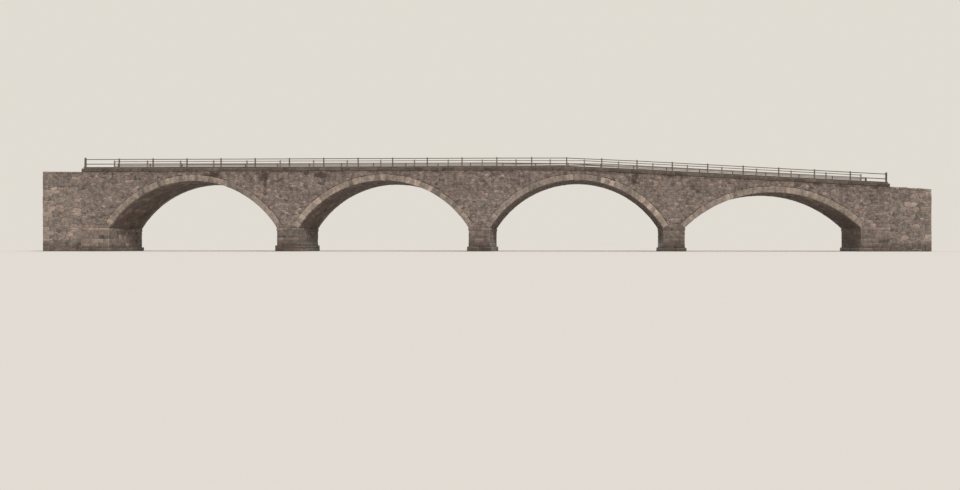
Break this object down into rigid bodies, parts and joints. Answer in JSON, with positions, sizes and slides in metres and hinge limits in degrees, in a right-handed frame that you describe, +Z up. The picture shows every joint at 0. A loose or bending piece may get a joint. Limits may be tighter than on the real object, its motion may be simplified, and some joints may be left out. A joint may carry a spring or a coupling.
{
  "type": "stone arch bridge, 1:10 scale model",
  "caption": "Segmental stone arch bridge with rubble spandrels, dressed rings, a coping, timber railings and a roadway that falls to one end. Scale model.",
  "frame": {"origin": "centre of the bridge's length and width, on the plane its footings stand on (the water line)", "axes": "+X along the bridge towards the end that the roadway falls to, +Y across it from the downstream to the upstream face, +Z up"},
  "size_m": [8.349, 0.842, 0.892],
  "materials": {
    "rubble": "random rubble, weathered",
    "dressed": "dressed, weathered",
    "wet_dressed": "dressed, wet and stained",
    "wall_rubble": "rough boulder rubble",
    "coping": "rough slabs, dark with age",
    "fill": "earth and rubble",
    "gravel": "rolled gravel",
    "timber": "weathered"
  },
  "bodies": {
    "root": {"arch_1_downstream_ring": "dressed", "arch_1_upstream_ring": "dressed", "arch_1_vault": "rubble", "arch_2_downstream_ring": "dressed", "arch_2_upstream_ring": "dressed", "arch_2_vault": "rubble", "arch_3_downstream_ring": "dressed", "arch_3_upstream_ring": "dressed", "arch_3_vault": "rubble", "arch_4_downstream_ring": "dressed", "arch_4_upstream_ring": "dressed", "arch_4_vault": "rubble", "downstream_coping": "coping", "downstream_railing_posts": "timber", "downstream_railing_rails": "timber", "downstream_sill": "timber", "downstream_spandrel_1": "rubble", "downstream_spandrel_2": "rubble", "downstream_spandrel_3": "rubble", "downstream_spandrel_4": "rubble", "downstream_spandrel_5": "rubble", "footway": "gravel", "footway_fence_posts": "timber", "footway_fence_rails": "timber", "left_abutment": "dressed", "left_wing_wall": "wall_rubble", "pier_1": "dressed", "pier_1_footing": "wet_dressed", "pier_2": "dressed", "pier_2_footing": "wet_dressed", "pier_3": "dressed", "pier_3_footing": "wet_dressed", "right_abutment": "dressed", "right_wing_wall": "wall_rubble", "roadway": "gravel", "spandrel_fill": "fill", "upstream_coping": "coping", "upstream_railing_posts": "timber", "upstream_railing_rails": "timber", "upstream_sill": "timber", "upstream_spandrel_1": "rubble", "upstream_spandrel_2": "rubble", "upstream_spandrel_3": "rubble", "upstream_spandrel_4": "rubble", "upstream_spandrel_5": "rubble"}
  },
  "joints": []
}
